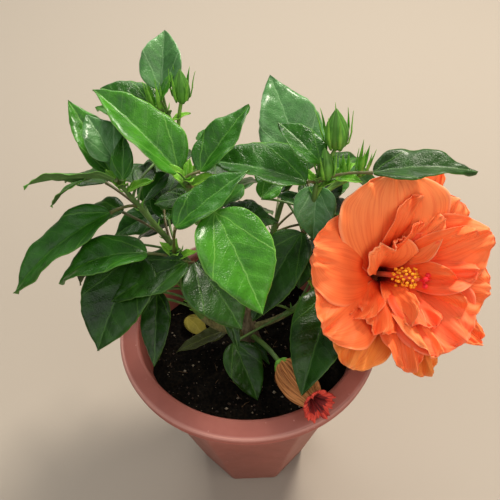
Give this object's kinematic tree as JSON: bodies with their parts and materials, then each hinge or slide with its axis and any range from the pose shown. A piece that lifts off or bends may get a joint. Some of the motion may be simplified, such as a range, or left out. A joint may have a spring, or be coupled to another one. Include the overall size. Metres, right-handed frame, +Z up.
{
  "type": "potted hibiscus shrub",
  "caption": "Leafy hibiscus shrub with glossy pointed leaves, buds, a large double orange bloom and a wilted one, growing in a flared panelled plastic pot.",
  "frame": {"origin": "the middle of the pot's flat underside, which stands on the ground", "axes": "+Z up; -Y is the front, the side the picture was taken from; +X is to the right as seen from the front"},
  "size_m": [0.3193, 0.2445, 0.3785],
  "materials": {
    "pot": "satin",
    "soil": "matte",
    "bark": "matte",
    "stem": "satin",
    "leaves": "satin",
    "petals": "matte",
    "wilted_petals": "matte"
  },
  "bodies": {
    "root": {"pot": "pot", "soil": "soil", "trunk": "bark", "bough_left": "bark", "bough_bud": "bark", "bough_centre": "bark", "bough_front": "bark", "bough_right": "bark", "bough_low": "bark", "bough_backLeft": "bark", "bough_backRight": "bark", "bloom_stalk": "stem", "bloom_open": "petals", "wilted_stalk": "stem", "bloom_wilted": "wilted_petals", "leaves_left": "leaves", "leaves_bud": "leaves", "leaves_centre": "leaves", "leaves_front": "leaves", "leaves_right": "leaves", "leaves_low": "leaves", "leaves_backLeft": "leaves", "leaves_backRight": "leaves"}
  },
  "joints": []
}
